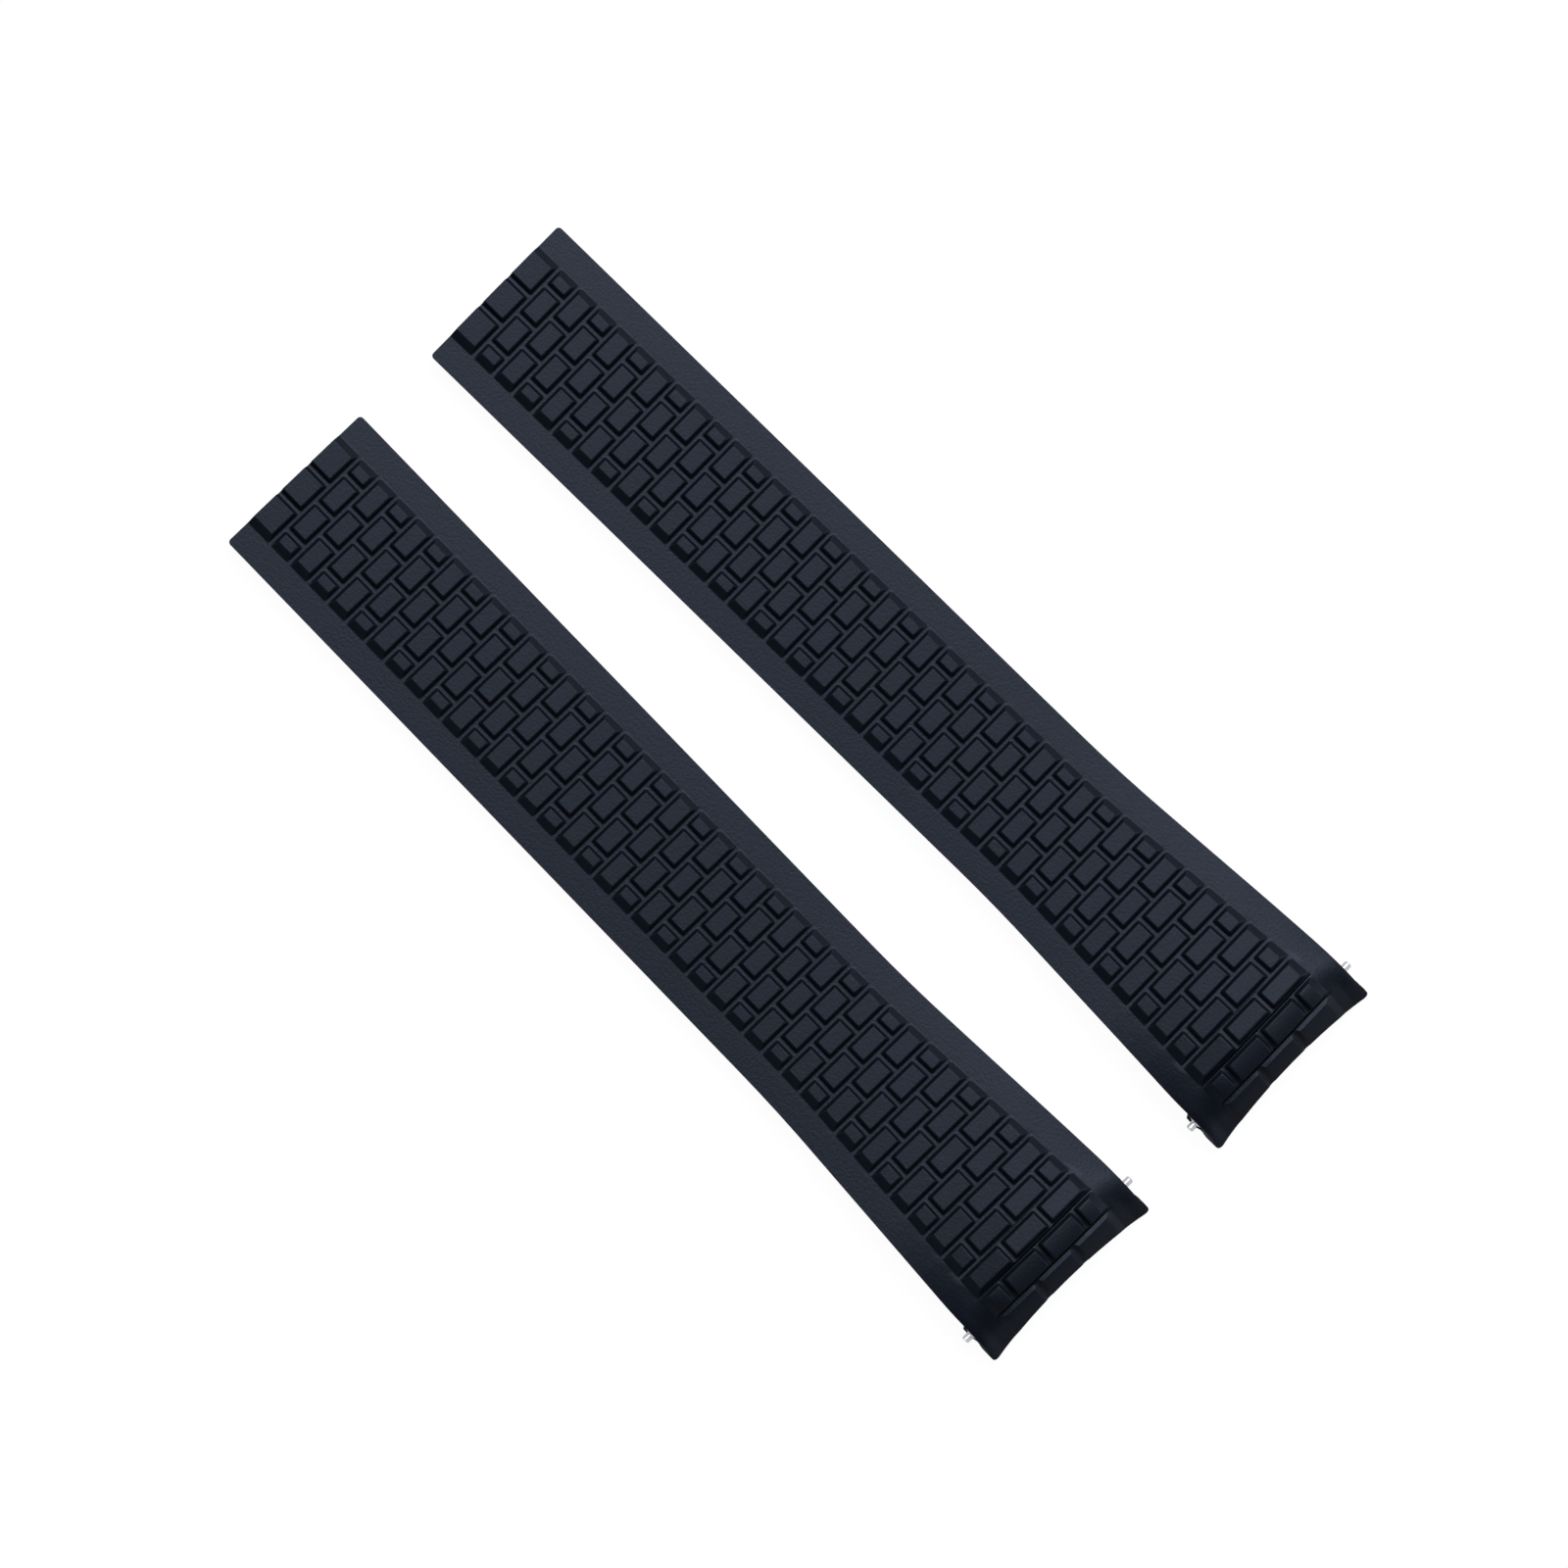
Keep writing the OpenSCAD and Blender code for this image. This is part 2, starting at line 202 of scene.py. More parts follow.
def skinHeight(x):
    arch = strap["thickness"] + rise * ((x - archStart) / strap["archLength"]) ** 2
    roll = rollZ + np.sqrt(np.clip(strap["crestRadius"] ** 2 - (x - rollX) ** 2, 0, None))
    fall = rollZ + strap["crestRadius"] * math.cos(endSlope) - (x - slopeStart) * math.tan(endSlope)
    return bySection(x, strap["thickness"], arch, roll, fall)


def halfWidth(x):
    # Grows from the clasp's width to the lugs' over the flare, easing in and out
    t = np.clip(1 - (flareEnd - x) / strap["flareLength"], 0, 1)
    easeIn, easeOut = strap["easeIn"], strap["easeOut"]
    m = 1 / (1 - (easeIn + easeOut) / 2)
    last = 1 - m * (1 - t) ** 2 / (2 * easeOut)
    share = np.where(t < easeIn, m * t * t / (2 * easeIn),
                     np.where(t > 1 - easeOut, last, m * (t - easeIn / 2)))
    return strap["claspWidth"] / 2 + (strap["lugWidth"] - strap["claspWidth"]) / 2 * share


# The underside: flat, an arch, the barrel round the bar, and the lip
barrelStart = barX - strap["barrelRadius"]
lipZ = float(skinHeight(np.array(float(length)))) - strap["lip"]
archUnder = np.linspace(archStart, barrelStart, detail["archPoints"])
barrelTurn = np.radians(np.linspace(*strap["barrelTurn"], detail["barrelPoints"]))
underX = np.concatenate([
    archUnder, barX + strap["barrelRadius"] * np.sin(barrelTurn),
    [length - run for run in strap["lipRun"]], [length]])
underZ = np.concatenate([
    strap["archHeight"] * ((archUnder - archStart) / (barrelStart - archStart)) ** 2,
    barZ - strap["barrelRadius"] * np.cos(barrelTurn), [strap["lipClear"]] * 2, [lipZ]])


def underHeight(x):
    return np.interp(x, underX, underZ)


# Length along the skin, which the flat moulding is laid out in
step = detail["step"]
tableX = np.arange(-detail["past"], length + detail["past"], step)
tableS = np.concatenate([[0], np.cumsum(step / np.cos(skinSlope(tableX[:-1] + step / 2)))])
tableS -= np.interp(0, tableX, tableS)

# The crown's fall at each place, eased so that it leaves no bands in the borders' gloss
ease = np.hanning(detail["crownEase"])
crownTable = np.interp(tableX, strap["crownAt"], strap["crown"])
crownTable = np.convolve(crownTable, ease / ease.sum(), "same")
margin = detail["crownEase"] // 2
crownTable[-margin:] = crownTable[-margin - 1]
crownTable[:margin] = crownTable[margin]


def alongSkin(x):
    return float(np.interp(x, tableX, tableS))


grooveRoom = length - strap["endHollow"] - relief["firstGroove"] - relief["pitch"] / 2
grooveCount = int(grooveRoom // relief["pitch"]) + 1
grooveX = [relief["firstGroove"] + i * relief["pitch"] for i in range(grooveCount)]
grooveS = np.array([alongSkin(x) for x in grooveX])
endS = alongSkin(length)

flatHalf = strap["claspWidth"] / 2
flatTop = flatHalf - relief["border"] - relief["shoulder"]
wallRun = (relief["open"] - relief["floor"]) / 2
flatBase = flatTop + wallRun
flatPitch = (2 * flatTop + relief["open"]) / 3
bottomHalf = relief["floor"] / 2 - relief["rim"]  # half a groove's bottom, between the foot strips


def rowShares(row):
    # A row's long grooves, in brick pitches: whole bricks in even rows, halves beside odd ones
    return (-0.5, 0.5) if row % 2 == 0 else (-1, 0, 1)


# The moulding, built flat and then laid onto its skin

def cutGrooves(bm):
    # Lines beside each cross groove and beside the relief, then the long grooves row by row
    for s in grooveS:
        for side in (-bottomHalf, bottomHalf):
            cut(bm, everything(bm), (s + side, 0, 0), (1, 0, 0))
    for side in (-1, 1):
        cut(bm, around(facingUp(bm)), (0, side * (flatBase + relief["rim"]), 0), (0, 1, 0))
    bounds = [-detail["spare"]] + list(grooveS) + [endS + detail["spare"]]
    for row in range(grooveCount + 1):
        low, high = bounds[row] + bottomHalf - slack, bounds[row + 1] - bottomHalf + slack
        for share in rowShares(row):
            for side in (-bottomHalf, bottomHalf):
                faces = [f for f in facingUp(bm)
                         if abs(middleOf(f).y) < flatBase and low < middleOf(f).x < high]
                cut(bm, around(faces), (0, share * flatPitch + side, 0), (0, 1, 0))


def raiseBricks(bm):
    # Each brick has a foot strip, then sloping walls up to its top
    bricks = []
    for f in bm.faces:
        c = middleOf(f)
        if f.normal.z < upward or abs(c.y) > flatBase:
            continue
        row = int(np.searchsorted(grooveS, c.x))
        inCross = np.min(np.abs(grooveS - c.x)) < bottomHalf
        inLong = min(abs(c.y - share * flatPitch) for share in rowShares(row)) < bottomHalf
        if not inCross and not inLong:
            bricks.append(f)
    for run, height in ((relief["rim"], 0), (wallRun, relief["height"])):
        bmesh.ops.inset_individual(bm, faces=bricks, thickness=run, depth=height,
                                   use_even_offset=True)
    print("bricks:", len(bricks))

    high = relief["height"] - near
    corners = [e for e in bm.edges if (e.verts[0].co.z > high) != (e.verts[1].co.z > high)]
    roundEdges(bm, corners, relief["cornerRadius"], segments=3)
    rims = [e for e in bm.edges if e.verts[0].co.z > high and e.verts[1].co.z > high]
    roundEdges(bm, rims, relief["topRadius"], segments=3)
    # The fillet at the foot, where a sloping wall meets the level floor
    wall, level = (0.2, 0.8), 0.95
    feet = []
    for e in bm.edges:
        if max(abs(v.co.z) for v in e.verts) < near and len(e.link_faces) == 2:
            slopes = sorted(f.normal.z for f in e.link_faces)
            if wall[0] < slopes[0] < wall[1] and slopes[1] > level:
                feet.append(e)
    roundEdges(bm, feet, relief["footRadius"], segments=2)


def finishEdges(bm):
    # The first and last rows run through the ends, which are cut square to the skin
    for place, way in ((0, -1), (endS, 1)):
        made = cut(bm, everything(bm), (place, 0, 0), (way, 0, 0), clear_outer=True)
        bmesh.ops.edgeloop_fill(bm, edges=made)

    # Rounded corners seen from above, then the long edges
    for place, radius in ((0, strap["claspCorner"]), (endS, strap["tipCorner"])):
        upright = [e for e in bm.edges
                   if all(abs(v.co.x - place) < near and abs(abs(v.co.y) - flatHalf) < near
                          for v in e.verts)]
        roundEdges(bm, upright, radius, segments=4)
    for height, radius in ((0, strap["longEdge"]), (-strap["thickness"], strap["underEdge"])):
        edges = []
        for e in bm.edges:
            if len(e.link_faces) == 2 and all(abs(v.co.z - height) < near for v in e.verts):
                slopes = sorted(abs(f.normal.z) for f in e.link_faces)
                if slopes[0] < 1 - upward and slopes[1] > upward:
                    edges.append(e)
        roundEdges(bm, edges, radius, segments=3)


def addLines(bm):
    # Lines along the borders for the crown, and along the last row, so that the end can be hollow
    beside = flatBase + detail["borderStart"]
    for y in detail["borderLines"]:
        for side in (-1, 1):
            tops = [f for f in facingUp(bm) if abs(middleOf(f).y) > beside]
            cut(bm, around(tops), (0, side * y, 0), (0, 1, 0))
    for y in np.arange(*detail["endLines"]):
        faces = [f for f in bm.faces if middleOf(f).x > grooveS[-1] + relief["floor"] / 2]
        cut(bm, around(faces), (0, y, 0), (0, 1, 0))

    # Stations on the arched part of the borders, between the rows' lines
    for s in (grooveS[:-1] + grooveS[1:]) / 2:
        if s > alongSkin(detail["archStart"]):
            faces = [f for f in bm.faces if abs(middleOf(f).y) > beside]
            cut(bm, around(faces), (s, 0, 0), (1, 0, 0))

    # Stations for the roll and the barrel, and levels for the bulge
    for x in np.arange(detail["rollStart"], length - detail["rollBack"], detail["rollStep"]):
        cut(bm, everything(bm), (alongSkin(x), 0, 0), (1, 0, 0))
    for h in detail["levels"]:
        faces = [f for f in bm.faces
                 if abs(f.normal.z) < sideways and middleOf(f).x > alongSkin(detail["levelStart"])]
        cut(bm, around(faces), (0, 0, h), (0, 0, 1))


def flatMoulding():
    bm = bmesh.new()
    size = (endS + 2 * detail["spare"], strap["claspWidth"], strap["thickness"])
    bmesh.ops.create_cube(bm, size=1)
    bmesh.ops.scale(bm, verts=bm.verts, vec=size)
    bmesh.ops.translate(bm, verts=bm.verts, vec=(endS / 2, 0, -strap["thickness"] / 2))
    cutGrooves(bm)
    raiseBricks(bm)
    finishEdges(bm)
    addLines(bm)
    return bm


def knots(row):
    # Where lines along the flat moulding go across the strap: each line's flat place, then a fixed
    # length and a share of the half width
    third = (relief["open"] - 2 * (relief["border"] + relief["shoulder"])) / 3
    rows = []
    for share in rowShares(row):
        for side in (-1, 1):
            edge = side * relief["open"] / 2
            rows.append((share * flatPitch + edge, share * third + edge, share * 2 / 3))
    for side in (-1, 1):
        for flat, inward in ((flatTop, relief["border"] + relief["shoulder"]),
                             (flatBase, relief["border"]),
                             (flatBase + relief["rim"], relief["border"] - relief["rim"]),
                             (flatHalf - strap["sideStrip"], strap["sideStrip"]),
                             (flatHalf, 0.0)):
            rows.append((side * flat, -side * inward, side))
    return np.array(sorted(rows))


def acrossStrap(row, y, w):
    # Spreads the flat moulding's lines over the strap's width, row by row
    across = np.zeros_like(y)
    for parity in (0, 1):
        table = knots(parity)
        here = row % 2 == parity
        at = np.clip(np.searchsorted(table[:, 0], y[here]) - 1, 0, len(table) - 2)
        t = (y[here] - table[at, 0]) / (table[at + 1, 0] - table[at, 0])
        low = table[at, 1] + table[at, 2] * w[here]
        high = table[at + 1, 1] + table[at + 1, 2] * w[here]
        across[here] = low + (high - low) * t
    return across


def sideOffset(x, y, z, depth):
    # How far the sides stand out, and only at the strip along each side
    bulgeStart = barX - strap["bulgeRun"] - strap["bulgeEase"]
    begin = np.clip((x - bulgeStart) / strap["bulgeEase"], 0, 1)
    fromValley = (x - (length - strap["valleyBack"])) / strap["valleyRun"]
    valley = 1 - strap["valleyShare"] * np.exp(-fromValley ** 2)
    low = np.clip((strap["bulgeHeight"] - z) / strap["bulgeFade"], 0, 1)
    outer = np.clip((np.abs(y) - flatHalf + strap["sideStrip"]) / strap["sideStrip"], 0, 1)
    out = strap["sideBulge"] * begin * valley * low - strap["sideLean"] * (1 - begin) * depth
    return np.sign(y) * out * outer


def ontoSkin(points):
    s, y, h = points.T
    x = np.interp(s, tableS, tableX)
    w = halfWidth(x)
    across = acrossStrap(np.searchsorted(grooveS, s), y, w)

    # The last row is drawn in to the hollow end, whose face stands upright
    lastX = relief["firstGroove"] + (grooveCount - 1) * relief["pitch"] + relief["open"] / 2
    reach = strap["lugWidth"] / 2
    endRadius = (reach ** 2 + strap["endHollow"] ** 2) / (2 * strap["endHollow"])
    hollow = np.sqrt(endRadius ** 2 - np.clip(across, -reach, reach) ** 2)
    endX = length - strap["endSpare"] - strap["endHollow"] + endRadius - hollow
    share = np.clip((x - lastX) / (length - lastX), 0, 1)
    x = x + share * (endX - length)
    up = np.clip(h, 0, None) * np.where(s > grooveS[-1], relief["lastShare"], 1)
    x = x - up * np.sin(skinSlope(x)) * share
    # The roll runs along the hollow end, so it comes earlier in the middle than at the tips
    bend = np.interp(np.abs(across), strap["rollAcross"], strap["rollBend"])
    along = x - bend * np.clip((x - strap["bendStart"]) / strap["bendRun"], 0, 1)
    slope = skinSlope(along)
    skin = skinHeight(along) - np.interp(x, tableX, crownTable) * (across / w) ** 2
    depth = np.clip(-h / strap["thickness"], 0, 1)
    under = np.minimum(underHeight(x), skin - strap["lip"])
    z = np.where(h > 0, skin + up * np.cos(slope), skin + (under - skin) * depth)
    across = across + sideOffset(x, y, z, depth)
    return np.column_stack([x + up * np.sin(slope), across, z])


moulding = flatMoulding()
flatPlaces = np.array([v.co[:] for v in moulding.verts])
raised = moulding.verts.layers.float.new("raised")  # 1 on the bricks' tops, for their finish
for v in moulding.verts:
    v[raised] = min(max(v.co.z / relief["height"], 0), 1)
for v, p in zip(moulding.verts, ontoSkin(flatPlaces)):
    v.co = p
moulding.normal_update()
bmesh.ops.recalc_face_normals(moulding, faces=moulding.faces)
base = objectFrom("mouldingBase", moulding)
print("moulding:", len(base.data.vertices), "corners", len(base.data.polygons), "faces")

# Tunnels, cutting guides and the hole for the sleeve

openings = {
    "tunnelDiameter": 1.6, "tunnelSetback": 2.2, "tunnelCount": 4, "mouth": 0.12,
    "guideDepth": 0.35, "guideWidth": 0.6,
    "past": 1,     # the cutters run past the moulding by this much
    "steps": 48,
}


def boreCutter(bm, x, z, radius, wall, mouth):
    # Turned about Y: straight inside, and flaring at both of the strap's sides
    past = openings["past"]
    outline = [(0, wall + past), (radius, wall + past)] if mouth == 0 else [
        (0, wall + past), (radius + mouth + past, wall + past), (radius, wall - mouth)]
    outline += [(r, -y) for r, y in reversed(outline)]
    verts = [bm.verts.new((x + r, y, z)) for r, y in outline]
    edges = [bm.edges.new(pair) for pair in zip(verts[:-1], verts[1:])]
    bmesh.ops.spin(bm, geom=verts + edges, cent=(x, 0, z), axis=(0, 1, 0), angle=math.tau,
                   steps=openings["steps"], use_merge=True)


def guideCutter(bm, x):
    # A three-sided prism across the strap, with its point up at the guide's bottom
    past, deep = openings["past"], openings["guideDepth"]
    made = bmesh.ops.create_cone(bm, cap_ends=True, segments=3, radius1=1, radius2=1,
                                 depth=strap["claspWidth"] + 4 * past)["verts"]
    bmesh.ops.rotate(bm, verts=made, matrix=Matrix.Rotation(math.radians(90), 3, "X"))
    low = min(v.co.z for v in made)
    high = max(v.co.z for v in made)
    wide = max(v.co.x for v in made)
    reach = deep + past
    pointUp = sum(1 for v in made if v.co.z > high - near) == 2
    for v in made:
        t = (v.co.z - low) / (high - low)
        t = t if pointUp else 1 - t
        v.co.z = t * reach - past
        v.co.x = x + v.co.x / wide * openings["guideWidth"] / 2 * reach / deep


cutters = bmesh.new()
tunnelX = [openings["tunnelSetback"]]
for i in range(1, openings["tunnelCount"]):
    guideX = relief["firstGroove"] + (2 * i - 1) * relief["pitch"]
    guideCutter(cutters, guideX)
    tunnelX.append(guideX + openings["tunnelSetback"])
for x in tunnelX:
    boreCutter(cutters, x, strap["thickness"] / 2, openings["tunnelDiameter"] / 2, flatHalf,
               openings["mouth"])
sleeveWall = strap["lugWidth"] / 2 + strap["sideBulge"]
boreCutter(cutters, barX, barZ, strap["sleeveRadius"], sleeveWall, 0)
bmesh.ops.remove_doubles(cutters, verts=cutters.verts, dist=1e-5)
bmesh.ops.recalc_face_normals(cutters, faces=cutters.faces)
cutter = objectFrom("cutters", cutters)

carve = base.modifiers.new("openings", "BOOLEAN")
carve.operation = "DIFFERENCE"
carve.solver = "EXACT"
carve.object = cutter
evaluated = base.evaluated_get(bpy.context.evaluated_depsgraph_get())
finished = bpy.data.meshes.new_from_object(evaluated)
print("with its openings:", len(finished.vertices), "corners", len(finished.polygons), "faces")
bpy.data.objects.remove(base)
bpy.data.objects.remove(cutter)

# Materials

silicone = {
    "pigment": "#070b14", "paler": "#0b0f18", "sheen": "#cfdfff",
    "ior": 1.41, "roughness": (0.42, 0.52), "rougherTops": 0.05,
    "blotch": 3.0, "grain": 0.3, "grainDepth": 0.024,  # mm
    "blotchDetail": 3.0, "grainDetail": 4.0,
}
steel = {
    "colour": "#c3c5c8", "duller": "#a9abaf", "roughness": (0.22, 0.34),
    "line": 0.12,  # mm between the turning marks
    "waver": 1.5, "lineDetail": 2.0,
}
waveScale = math.tau / 20  # scale at which the wave texture has one band to a unit


def mixed(tree, factor, first, second):
    # A colour between two, by a factor
    mix = newNode(tree, "ShaderNodeMix", {"Factor": factor}, data_type="RGBA")
    mix.inputs[6].default_value = toLinear(first)
    mix.inputs[7].default_value = toLinear(second)
    return mix.outputs[2]


def ranged(tree, value, limits):
    span = newNode(tree, "ShaderNodeMapRange", {"Value": value})
    span.inputs["To Min"].default_value, span.inputs["To Max"].default_value = limits
    return span.outputs["Result"]


def siliconeMaterial():
    # Moulded silicone rubber with a blasted mould's matte skin: nearly black pigment, seen mostly
    # by its soft bluish sheen
    material, tree = newMaterial("moulded silicone rubber")
    shader = tree.nodes["Principled BSDF"]
    shader.inputs["IOR"].default_value = silicone["ior"]
    shader.inputs["Specular Tint"].default_value = toLinear(silicone["sheen"])
    place = newNode(tree, "ShaderNodeTexCoord").outputs["Object"]
    blotch = newNode(tree, "ShaderNodeTexNoise", {"Vector": place},
                     Scale=perMetre / silicone["blotch"], Detail=silicone["blotchDetail"])
    colour = mixed(tree, blotch.outputs["Fac"], silicone["pigment"], silicone["paler"])
    grain = newNode(tree, "ShaderNodeTexNoise", {"Vector": place},
                    Scale=perMetre / silicone["grain"], Detail=silicone["grainDetail"])
    rough = ranged(tree, grain.outputs["Fac"], silicone["roughness"])
    tops = newNode(tree, "ShaderNodeAttribute", attribute_name="raised")
    rougher = newNode(tree, "ShaderNodeMath", {0: tops.outputs["Fac"], 2: rough},
                      operation="MULTIPLY_ADD")
    rougher.inputs[1].default_value = silicone["rougherTops"]
    bump = newNode(tree, "ShaderNodeBump", {"Height": grain.outputs["Fac"]}, Strength=1.0,
                   Distance=silicone["grainDepth"] / perMetre)
    tree.links.new(colour, shader.inputs["Base Color"])
    tree.links.new(rougher.outputs[0], shader.inputs["Roughness"])
    tree.links.new(bump.outputs["Normal"], shader.inputs["Normal"])
    return material


def steelMaterial():
    # Fine-turned stainless steel: the lathe's marks run round the bar and break up the gloss
    material, tree = newMaterial("turned stainless steel")
    shader = tree.nodes["Principled BSDF"]
    shader.inputs["Metallic"].default_value = 1.0
    place = newNode(tree, "ShaderNodeTexCoord").outputs["Object"]
    rings = newNode(tree, "ShaderNodeTexWave", {"Vector": place}, wave_type="BANDS",
                    bands_direction="Y", Scale=perMetre / steel["line"] * waveScale,
                    Distortion=steel["waver"], Detail=steel["lineDetail"])
    colour = mixed(tree, rings.outputs["Fac"], steel["colour"], steel["duller"])
    rough = ranged(tree, rings.outputs["Fac"], steel["roughness"])
    tree.links.new(colour, shader.inputs["Base Color"])
    tree.links.new(rough, shader.inputs["Roughness"])
    return material


siliconeSkin = siliconeMaterial()
steelSkin = steelMaterial()
print("materials made")

# The two halves, each with its place in its mesh

middle = length * strap["middleShare"]
turn = math.radians(strap["pairAngle"] / 2)
claspReach = middle * math.cos(turn) + strap["claspWidth"] / 2 * math.sin(turn)
caseReach = (length - middle) * math.cos(turn) + strap["lugWidth"] / 2 * math.sin(turn)
sides = ((-1, "a"), (1, "b"))


def pairPlace(side):
    # Where the middle of a half lies in the pair, in millimetres
    along = (claspReach - caseReach + side * strap["pairShift"]) / 2
    return Vector((along, side * strap["pairSpacing"] / 2, 0))


halves = []
for side, name in sides:
    mesh = finished.copy()
    mesh.name = "siliconeHalf_" + name
    mesh.transform(Matrix.Scale(1 / perMetre, 4) @ Matrix.Translation(pairPlace(side))
                   @ Matrix.Rotation(side * turn, 4, "Z") @ Matrix.Translation((-middle, 0, 0)))
    mesh.materials.clear()
    mesh.materials.append(siliconeSkin)
    for f in mesh.polygons:
        f.use_smooth = True
    mesh.set_sharp_from_angle(angle=math.radians(strap["sharpAngle"]))
    piece = linked("siliconeHalf_" + name, mesh)
    smooth = piece.modifiers.new("weighted normals", "WEIGHTED_NORMAL")
    smooth.keep_sharp = True
    halves.append(piece)
    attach(piece, "half_" + name)
    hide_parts("strap_half_" + name)
bpy.data.meshes.remove(finished)

# The sleeves and spring bars keep their solids, in steel

metal = []
for name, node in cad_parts.items():
    if name.startswith("strap_half"):
        continue
    for slot in node.material_slots:
        slot.material = steelSkin
    if "coil" not in name:
        metal.append(node)

# Each coil is drawn as its two ends, cut apart at the bar's middle into pieces of their own

for side, name in sides:
    rotation = Matrix.Rotation(side * turn, 3, "Z")
    bar = pairPlace(side) + rotation @ Vector((barX - middle, 0, 0)) + Vector((0, 0, barZ))
    bar /= perMetre
    along = rotation @ Vector((0, 1, 0))
    for way, word in ((side, "outer"), (-side, "inner")):
        coil = bmesh.new()
        coil.from_mesh(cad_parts["spring_bar_coil_" + name].data)
        bmesh.ops.remove_doubles(coil, verts=coil.verts, dist=1e-7)
        made = cut(coil, everything(coil), bar, along * way, dist=1e-8, clear_inner=True)
        bmesh.ops.holes_fill(coil, edges=made)
        piece = objectFrom(f"coilEnd_{word}_{name}", coil)
        piece.data.materials.append(steelSkin)
        metal.append(piece)
        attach(piece, "spring_bar_" + name)
        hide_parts("spring_bar_coil_" + name)
        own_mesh(piece)
print("halves and bars placed")

# Studio, in metres and watts: white paper, a large softbox overhead, and cards round the table

studio = {
    "worldGrey": "#1e1f21", "paperGrey": "#3e3f42", "glow": 0.965,
    "paperRadius": 3.0, "paperRings": (96, 48),
    "paperDrop": 0.00002, "tableDrop": 0.00001,  # the paper and its sheen lie this far under the strap
    "tableSize": 2.0, "tableSheen": 0.25,
    "boxSize": (2.1, 1.9), "boxPlace": (-0.74, 1.0, 2.3), "boxPower": 70.0,
    "cardSize": (1.6, 1.0), "cardPlace": (1.24, 1.44, 0.36), "cardPower": 7.0,
    "paleSize": (2.4, 0.9), "paleReach": 2.0, "paleTurn": 0.4, "paleCount": 4, "palePower": 2.2,
}


def paperMaterial():
    # White paper for the camera and in metal; its own dull grey takes the shadow and the light
    material, tree = newMaterial("white studio paper")
    tree.nodes.clear()
    ray = newNode(tree, "ShaderNodeLightPath")
    seen = ray.outputs["Is Camera Ray"]
    for other in ("Is Glossy Ray", "Is Transmission Ray"):
        either = newNode(tree, "ShaderNodeMath", {0: seen, 1: ray.outputs[other]},
                         operation="MAXIMUM")
        seen = either.outputs[0]
    strength = newNode(tree, "ShaderNodeMath", {0: seen}, operation="MULTIPLY")
    strength.inputs[1].default_value = studio["glow"]
    glow = newNode(tree, "ShaderNodeEmission", {"Strength": strength.outputs[0]})
    paper = newNode(tree, "ShaderNodeBsdfDiffuse")
    paper.inputs["Color"].default_value = toLinear(studio["paperGrey"])
    both = newNode(tree, "ShaderNodeAddShader", {0: glow.outputs[0], 1: paper.outputs[0]})
    newNode(tree, "ShaderNodeOutputMaterial", {"Surface": both.outputs[0]})
    return material


def areaLamp(name, size, power, place):
    # Faces the strap and isn't seen by the camera
    data = bpy.data.lights.new(name, "AREA")
    data.shape = "RECTANGLE"
    data.size, data.size_y = size
    data.energy = power
    lamp = linked(name, data)
    lamp.location = place
    lamp.rotation_euler = (-Vector(lamp.location)).to_track_quat("-Z", "Y").to_euler()
    lamp.visible_camera = False
    return lamp


def lightOnly(lamp, pieces):
    # Keeps a lamp's light to some pieces
    lit = bpy.data.collections.new("lit by " + lamp.name)
    for piece in pieces:
        lit.objects.link(piece)
    lamp.light_linking.receiver_collection = lit


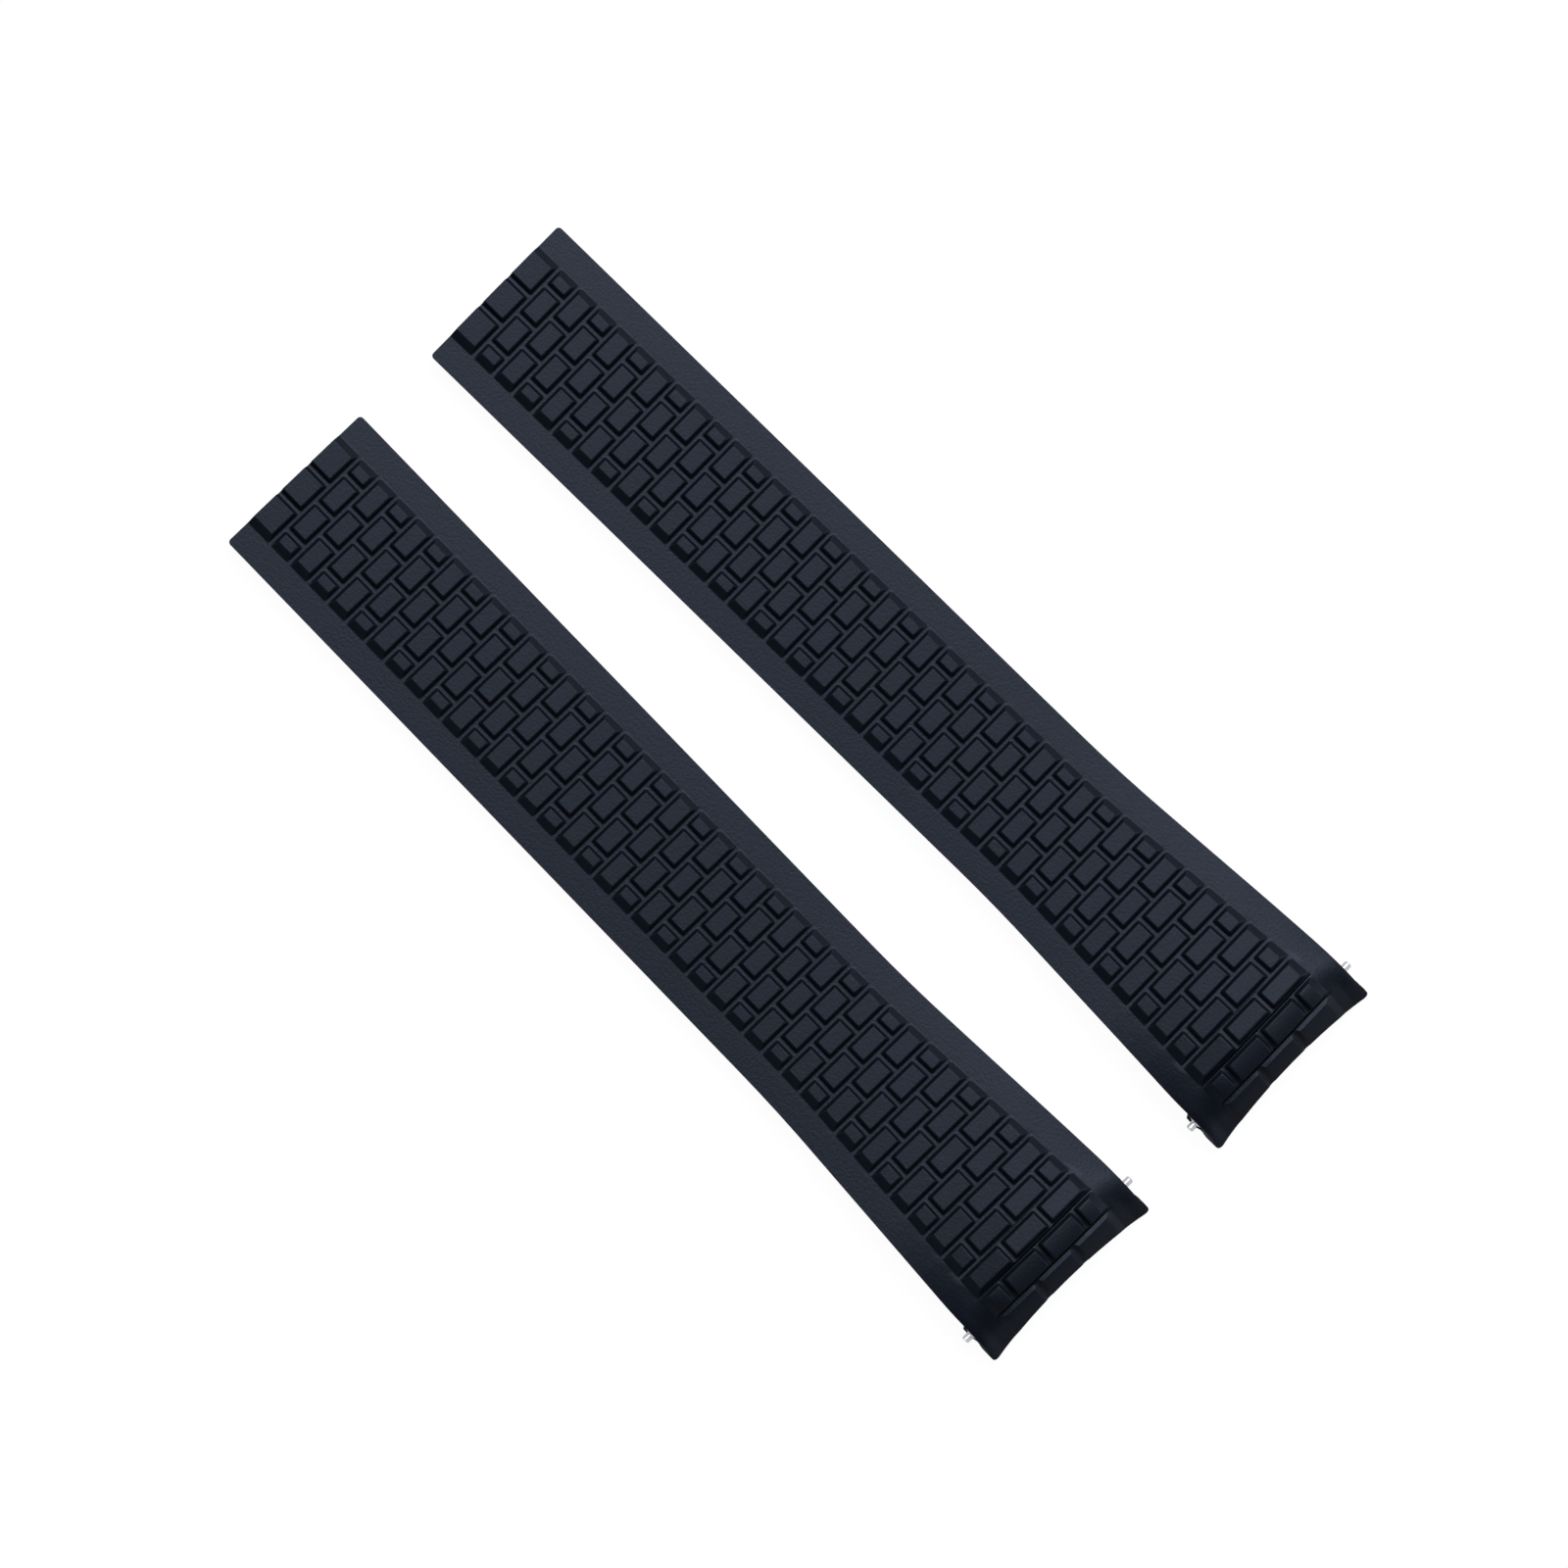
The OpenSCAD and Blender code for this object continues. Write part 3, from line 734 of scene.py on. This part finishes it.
# A low dome over a round table top, both of one paper. Its glow is for the eye and the metal.
bm = bmesh.new()
segments, rings = studio["paperRings"]
bmesh.ops.create_uvsphere(bm, u_segments=segments, v_segments=rings, radius=studio["paperRadius"])
made = cut(bm, everything(bm), (0, 0, 0), (0, 0, -1), clear_outer=True)
bmesh.ops.edgeloop_fill(bm, edges=made)
bmesh.ops.recalc_face_normals(bm, faces=bm.faces)
bmesh.ops.reverse_faces(bm, faces=bm.faces)
bmesh.ops.translate(bm, verts=bm.verts, vec=(0, 0, -studio["paperDrop"]))
paper = objectFrom("paper", bm)
paper.data.materials.append(paperMaterial())
level = 0.9999  # the table top's normal rises more than this, and it stays flat in the shading
for f in paper.data.polygons:
    f.use_smooth = abs(f.normal.z) < level
lightOnly(paper, metal)

# The silicone has a weaker light from the table; a lamp's power is its radiance times pi and area
tablePower = studio["tableSheen"] * math.pi * math.pi * studio["tableSize"] ** 2 / 4
table = areaLamp("table sheen", (studio["tableSize"],) * 2, tablePower, (0, 0, -studio["tableDrop"]))
table.data.shape = "DISK"
table.rotation_euler = (math.pi, 0, 0)
lightOnly(table, halves)

# The white card stands beyond the case ends and lifts the skin that turns down there. The pale
# cards stand round the table, so that the dark sides keep a soft sheen.
areaLamp("softbox", studio["boxSize"], studio["boxPower"], studio["boxPlace"])
areaLamp("white card", studio["cardSize"], studio["cardPower"], studio["cardPlace"])
for i in range(studio["paleCount"]):
    angle = i * math.tau / studio["paleCount"] + studio["paleTurn"]
    areaLamp("pale card", studio["paleSize"], studio["palePower"],
             (studio["paleReach"] * math.cos(angle), studio["paleReach"] * math.sin(angle),
              studio["paleSize"][1] / 2))

world = bpy.data.worlds.new("studio air")
world.use_nodes = True
world.node_tree.nodes["Background"].inputs["Color"].default_value = toLinear(studio["worldGrey"])
bpy.context.scene.world = world
bpy.context.scene.view_settings.view_transform = "Standard"

# Camera: nearly straight down, turned so that the strap lies from upper left to lower right

shot = {"lens": 133.0, "sensor": 36.0, "distance": 0.5685, "elevation": 86.3, "roll": 45.185,
        "target": (-0.00031, -0.00053, 0.002), "clip": (0.01, 20)}
camera = bpy.data.cameras.new("camera")
camera.lens = shot["lens"]
camera.sensor_width = shot["sensor"]
camera.clip_start, camera.clip_end = shot["clip"]
cameraObject = linked("camera", camera)
elevation, roll = math.radians(shot["elevation"]), math.radians(shot["roll"])
back = Vector((0, -math.cos(elevation), math.sin(elevation)))
right = Vector((math.cos(roll), math.sin(roll), 0))
right = (right - right.dot(back) * back).normalized()
turned = Matrix((right, back.cross(right), back)).transposed().to_4x4()
stand = Vector(shot["target"]) + back * shot["distance"]
cameraObject.matrix_world = Matrix.Translation(stand) @ turned
bpy.context.scene.camera = cameraObject
print("studio and camera set")
